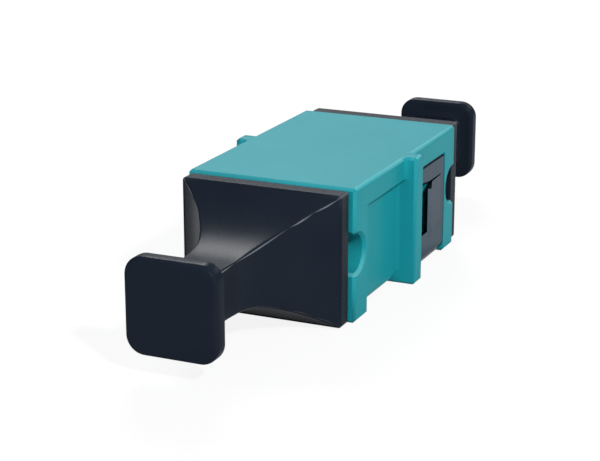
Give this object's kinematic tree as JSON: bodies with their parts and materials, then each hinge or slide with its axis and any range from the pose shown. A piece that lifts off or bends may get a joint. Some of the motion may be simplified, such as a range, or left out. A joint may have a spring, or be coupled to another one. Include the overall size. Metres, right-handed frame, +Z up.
{
  "type": "mpo fibre adapter",
  "caption": "Panel coupler for two ribbon fibre plugs: aqua rectangular body with flange, sprung steel retaining clip and flared black dust caps in both ports.",
  "frame": {"origin": "middle of the body's length and width, on the plane of its feet", "axes": "+Y along the ports towards the end with the clip, +X across the flange, +Z up through the keyed side"},
  "size_m": [0.0146, 0.05, 0.0097],
  "materials": {
    "housing_plastic": "moulded, satin aqua",
    "latch_plastic": "moulded, black",
    "clip_steel": "rolled spring strip",
    "cap_plastic": "moulded, near black"
  },
  "bodies": {
    "coupler": {"housing": "housing_plastic", "front_latch_insert": "latch_plastic", "rear_latch_insert": "latch_plastic", "retaining_clip": "clip_steel"},
    "front_cap": {"front_dust_cap": "cap_plastic"},
    "rear_cap": {"rear_dust_cap": "cap_plastic"}
  },
  "joints": [
    {"name": "front_cap_pull", "type": "slide", "parent": "coupler", "child": "front_cap", "axis": [0, -1, 0], "range_m": [0, 0.015]},
    {"name": "rear_cap_pull", "type": "slide", "parent": "coupler", "child": "rear_cap", "axis": [0, 1, 0], "range_m": [0, 0.015]}
  ]
}
